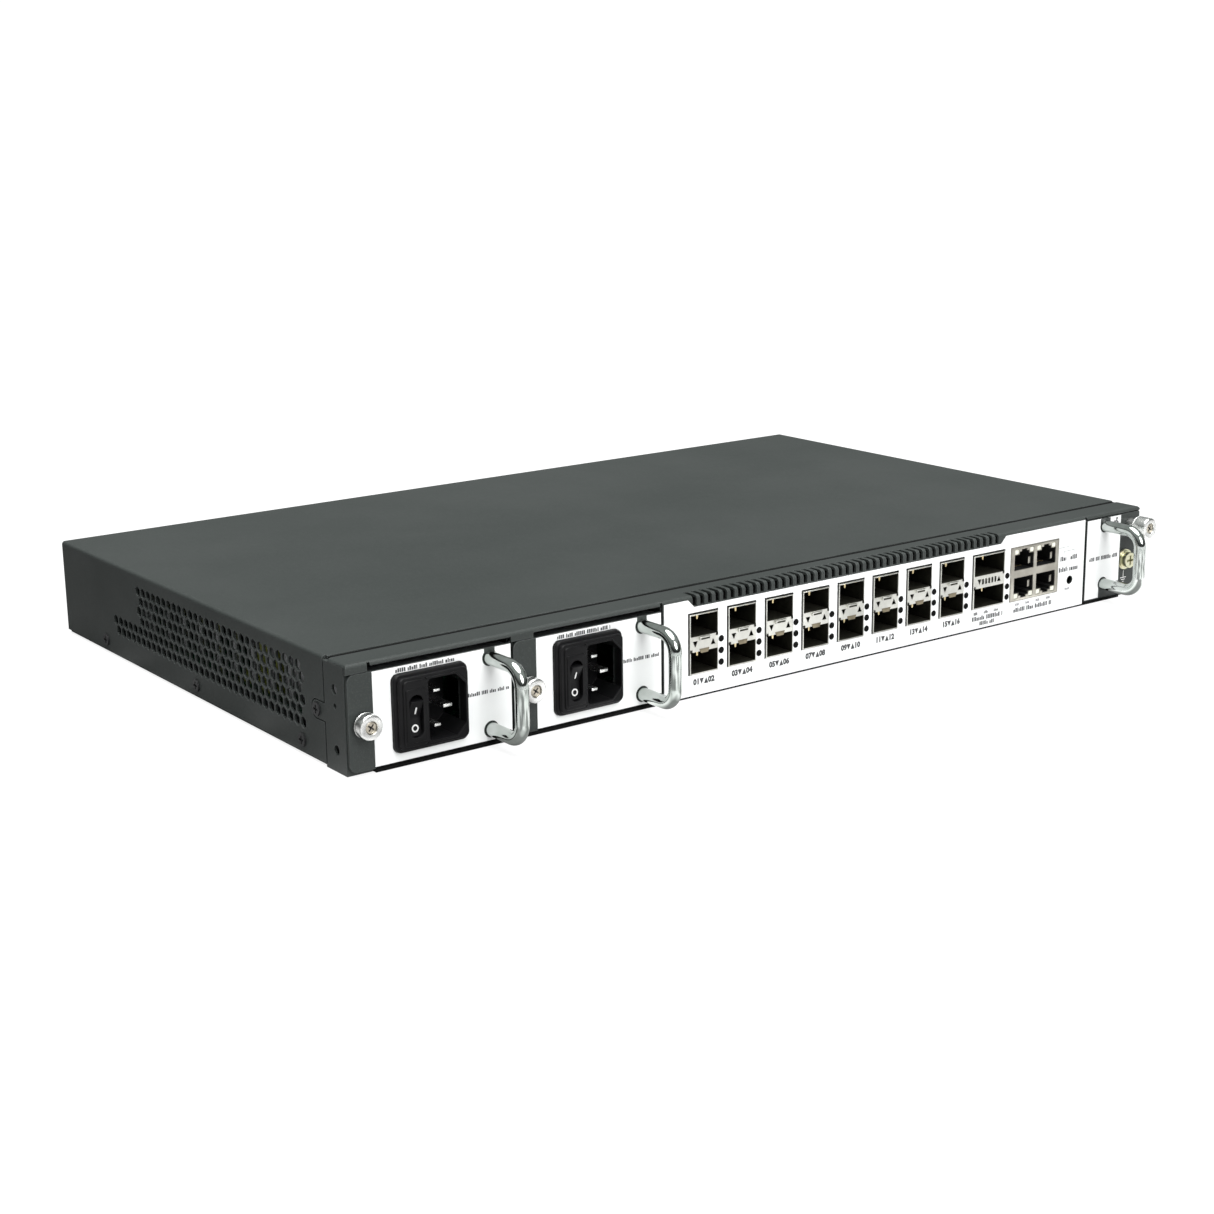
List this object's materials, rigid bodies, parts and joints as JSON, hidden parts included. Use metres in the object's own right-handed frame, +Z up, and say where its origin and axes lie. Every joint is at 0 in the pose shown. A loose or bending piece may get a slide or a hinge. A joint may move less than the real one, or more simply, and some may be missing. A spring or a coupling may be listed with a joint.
{
  "type": "rackmount network switch",
  "caption": "Slim rack-unit network switch with slide-in power modules, a front fan tray, chrome pull handles and a panel of stacked transceiver cages and modular jacks.",
  "frame": {"origin": "centre of the chassis floor's underside, midway between the side walls and between the front face and the rear wall", "axes": "+X to the right seen from the front, +Y from front to back, +Z up"},
  "size_m": [0.4434, 0.2903, 0.0436],
  "materials": {
    "chassis_paint": "fine textured powder coat, dark greenish grey",
    "white_label": "satin white overlay",
    "galvanised_steel": "zinc-plated sheet",
    "bright_chrome": "polished",
    "screw_nickel": "nickel-plated, fine turned",
    "screw_black": "black zinc-plated screws",
    "zinc_yellow": "yellow passivated zinc",
    "inlet_black": "satin black moulding",
    "black_plastic": "matt black moulding",
    "cage_nickel": "warm nickel-plated spring sheet",
    "board_green": "solder mask",
    "heatsink_aluminium": "extruded",
    "transformer_tape": "yellow-green winding tape"
  },
  "bodies": {
    "root": {"chassis_base": "chassis_paint", "front_strip": "chassis_paint", "port_panel": "chassis_paint", "port_label": "white_label", "top_cover": "chassis_paint", "cover_screws": "screw_black", "ground_screw": "zinc_yellow", "bay_dividers": "chassis_paint", "main_board": "board_green", "board_standoffs": "zinc_yellow", "switch_heatsink": "heatsink_aluminium", "board_components": "black_plastic", "power_backplane": "board_green", "sfp_cage_1": "cage_nickel", "sfp_cage_2": "cage_nickel", "sfp_cage_3": "cage_nickel", "sfp_cage_4": "cage_nickel", "sfp_cage_5": "cage_nickel", "sfp_cage_6": "cage_nickel", "sfp_cage_7": "cage_nickel", "sfp_cage_8": "cage_nickel", "sfp_connectors": "black_plastic", "uplink_cage": "cage_nickel", "rj45_shield": "cage_nickel", "rj45_insert": "black_plastic", "light_pipes": "black_plastic", "reset_switch": "black_plastic"},
    "reset_button": {"reset_button": "black_plastic"},
    "psu_1": {"psu_1_faceplate": "chassis_paint", "psu_1_label": "white_label", "psu_1_case": "galvanised_steel", "psu_1_inlet": "inlet_black", "psu_1_pins": "screw_nickel", "psu_1_handle": "bright_chrome", "psu_1_board": "board_green", "psu_1_transformer": "transformer_tape", "psu_1_heatsinks": "heatsink_aluminium"},
    "psu_1_switch": {"psu_1_rocker": "inlet_black"},
    "psu_1_screw": {"psu_1_thumbscrew": "screw_nickel"},
    "psu_2": {"psu_2_faceplate": "chassis_paint", "psu_2_label": "white_label", "psu_2_case": "galvanised_steel", "psu_2_inlet": "inlet_black", "psu_2_pins": "screw_nickel", "psu_2_handle": "bright_chrome", "psu_2_board": "board_green", "psu_2_transformer": "transformer_tape", "psu_2_heatsinks": "heatsink_aluminium"},
    "psu_2_switch": {"psu_2_rocker": "inlet_black"},
    "psu_2_screw": {"psu_2_thumbscrew": "screw_nickel"},
    "fan_tray": {"fan_tray_faceplate": "chassis_paint", "fan_tray_label": "white_label", "fan_tray_frame": "galvanised_steel", "fan_tray_handle": "bright_chrome", "fan_frames": "black_plastic"},
    "fan_tray_screw": {"fan_tray_thumbscrew": "screw_nickel"},
    "fan_1": {"fan_rotor_1": "black_plastic"},
    "fan_2": {"fan_rotor_2": "black_plastic"},
    "fan_3": {"fan_rotor_3": "black_plastic"},
    "fan_4": {"fan_rotor_4": "black_plastic"}
  },
  "joints": [
    {"name": "reset_press", "type": "slide", "parent": "root", "child": "reset_button", "axis": [0, 1, 0], "range_m": [0, 0.001], "stiffness_N_per_m": 300, "springref_m": -0.0008},
    {"name": "psu_1_slide", "type": "slide", "parent": "root", "child": "psu_1", "axis": [0, -1, 0], "range_m": [0, 0.225]},
    {"name": "psu_1_rocker_tilt", "type": "hinge", "parent": "psu_1", "child": "psu_1_switch", "pos_m": [-0.1941, -0.1309, 0.0199], "axis": [1, 0, 0], "range_deg": [-18, 0]},
    {"name": "psu_1_screw_turn", "type": "hinge", "parent": "psu_1", "child": "psu_1_screw", "pos_m": [-0.2143, -0.1325, 0.0198], "axis": [0, 1, 0], "continuous": true},
    {"name": "psu_2_slide", "type": "slide", "parent": "root", "child": "psu_2", "axis": [0, -1, 0], "range_m": [0, 0.225]},
    {"name": "psu_2_rocker_tilt", "type": "hinge", "parent": "psu_2", "child": "psu_2_switch", "pos_m": [-0.1205, -0.1309, 0.0199], "axis": [1, 0, 0], "range_deg": [-18, 0]},
    {"name": "psu_2_screw_turn", "type": "hinge", "parent": "psu_2", "child": "psu_2_screw", "pos_m": [-0.1407, -0.1325, 0.0198], "axis": [0, 1, 0], "continuous": true},
    {"name": "fan_tray_slide", "type": "slide", "parent": "root", "child": "fan_tray", "axis": [0, -1, 0], "range_m": [0, 0.25]},
    {"name": "fan_tray_screw_turn", "type": "hinge", "parent": "fan_tray", "child": "fan_tray_screw", "pos_m": [0.214, -0.1325, 0.0352], "axis": [0, 1, 0], "continuous": true},
    {"name": "fan_1_spin", "type": "hinge", "parent": "fan_tray", "child": "fan_1", "pos_m": [0.1954, -0.0965, 0.0218], "axis": [1, 0, 0], "continuous": true},
    {"name": "fan_2_spin", "type": "hinge", "parent": "fan_tray", "child": "fan_2", "pos_m": [0.1954, -0.0465, 0.0218], "axis": [1, 0, 0], "continuous": true},
    {"name": "fan_3_spin", "type": "hinge", "parent": "fan_tray", "child": "fan_3", "pos_m": [0.1954, 0.0035, 0.0218], "axis": [1, 0, 0], "continuous": true},
    {"name": "fan_4_spin", "type": "hinge", "parent": "fan_tray", "child": "fan_4", "pos_m": [0.1954, 0.0535, 0.0218], "axis": [1, 0, 0], "continuous": true}
  ]
}
